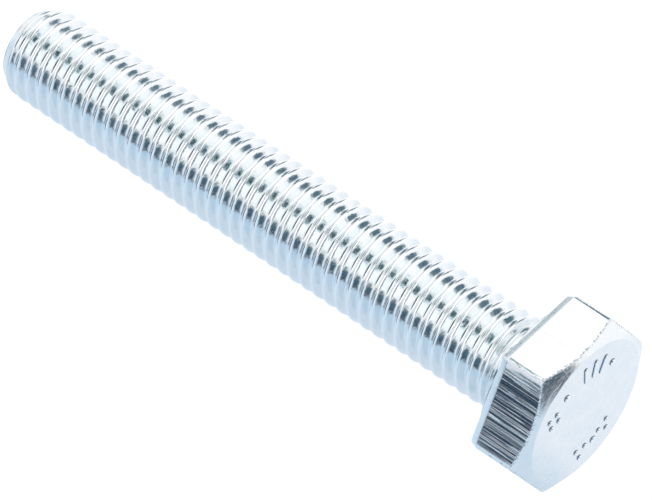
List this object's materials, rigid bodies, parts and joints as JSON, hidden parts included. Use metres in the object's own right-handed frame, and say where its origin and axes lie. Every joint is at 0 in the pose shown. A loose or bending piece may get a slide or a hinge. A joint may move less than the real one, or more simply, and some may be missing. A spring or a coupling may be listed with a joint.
{
  "type": "hex bolt",
  "caption": "Hexagon head bolt threaded along its whole shank, with a washer face under the head, a bevelled tip and small raised marks on the head's outer face.",
  "frame": {"origin": "centre of the bearing face under the head, on the bolt's axis", "axes": "the bolt lies along X: +X points out of the head's outer face, -X points along the shank to the tip; one flat of the head faces -Z and its opposite faces +Z"},
  "size_m": [0.0716, 0.0196, 0.0168],
  "materials": {
    "zinc_plate": "bright zinc plate with a faint blue passivation and drawn streaks along the flats",
    "zinc_thread": "bright zinc plate over smooth rolled thread flanks"
  },
  "bodies": {
    "root": {"hex_head": "zinc_plate", "head_marks": "zinc_plate", "washer_face": "zinc_plate", "underhead_neck": "zinc_thread", "thread_core": "zinc_thread", "screw_thread": "zinc_thread", "chamfered_point": "zinc_thread"}
  },
  "joints": []
}
